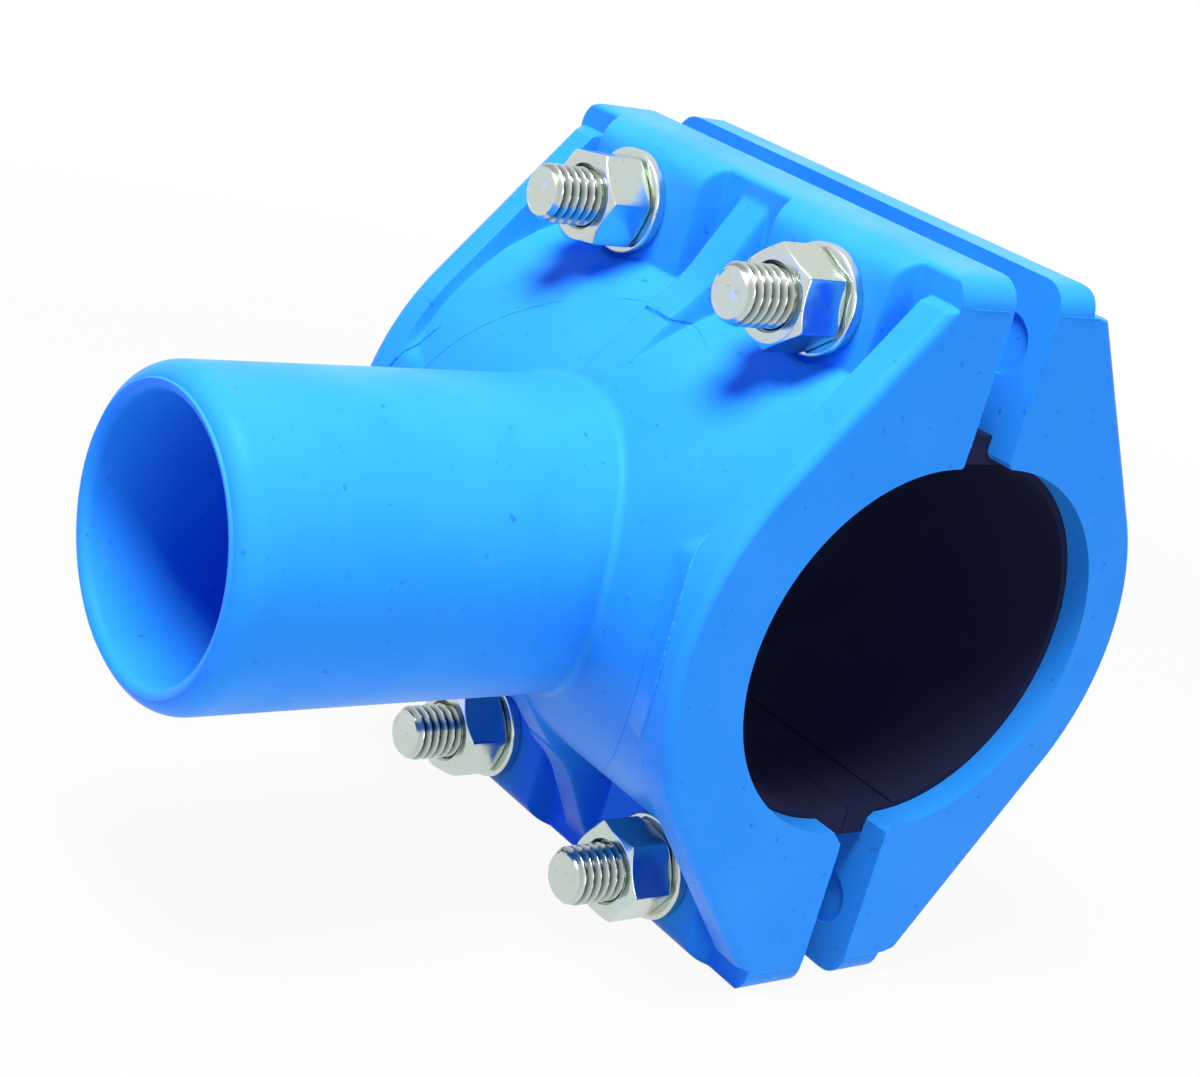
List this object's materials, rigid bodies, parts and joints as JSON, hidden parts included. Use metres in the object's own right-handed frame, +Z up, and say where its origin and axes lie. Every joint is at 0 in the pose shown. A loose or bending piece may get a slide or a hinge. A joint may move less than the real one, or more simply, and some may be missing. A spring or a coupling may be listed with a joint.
{
  "type": "tapping saddle",
  "caption": "Moulded plastic tapping saddle: two bolted shells with a rubber lining clamp a run pipe, and a plain spigot branch stands out to one side.",
  "frame": {"origin": "where the branch axis meets the bore axis of the spigot shell, whose split face is the plane Y = 0", "axes": "+X along the run pipe, -Y the way the spigot points, +Z up"},
  "size_m": [0.118, 0.1981, 0.1512],
  "materials": {
    "moulding": "satin",
    "rubber": "matte",
    "zinc": "bright zinc plate"
  },
  "bodies": {
    "spigot_half": {"spigot_shell": "moulding", "front_gasket": "rubber", "front_washer_1": "zinc", "front_washer_2": "zinc", "front_washer_3": "zinc", "front_washer_4": "zinc"},
    "back_half": {"back_shell": "moulding", "back_gasket": "rubber", "bolt_1": "zinc", "bolt_2": "zinc", "bolt_3": "zinc", "bolt_4": "zinc", "back_washer_1": "zinc", "back_washer_2": "zinc", "back_washer_3": "zinc", "back_washer_4": "zinc"},
    "nut_body_1": {"nut_1": "zinc"},
    "nut_body_2": {"nut_2": "zinc"},
    "nut_body_3": {"nut_3": "zinc"},
    "nut_body_4": {"nut_4": "zinc"}
  },
  "joints": [
    {"name": "shell_slide", "type": "slide", "parent": "spigot_half", "child": "back_half", "axis": [0, 1, 0], "range_m": [0, 0.01]},
    {"name": "nut_1_turn", "type": "hinge", "parent": "spigot_half", "child": "nut_body_1", "pos_m": [-0.0302, -0.0261, 0.061], "axis": [0, 1, 0], "range_deg": [-1805, 5]},
    {"name": "nut_2_turn", "type": "hinge", "parent": "spigot_half", "child": "nut_body_2", "pos_m": [0.0302, -0.0261, 0.061], "axis": [0, 1, 0], "range_deg": [-1805, 5]},
    {"name": "nut_3_turn", "type": "hinge", "parent": "spigot_half", "child": "nut_body_3", "pos_m": [-0.0302, -0.0261, -0.061], "axis": [0, 1, 0], "range_deg": [-1805, 5]},
    {"name": "nut_4_turn", "type": "hinge", "parent": "spigot_half", "child": "nut_body_4", "pos_m": [0.0302, -0.0261, -0.061], "axis": [0, 1, 0], "range_deg": [-1805, 5]}
  ],
  "couplings": [
    {"joint": "nut_1_turn", "follows": "shell_slide", "rad_per_m": -3141.6},
    {"joint": "nut_2_turn", "follows": "shell_slide", "rad_per_m": -3141.6},
    {"joint": "nut_3_turn", "follows": "shell_slide", "rad_per_m": -3141.6},
    {"joint": "nut_4_turn", "follows": "shell_slide", "rad_per_m": -3141.6}
  ]
}
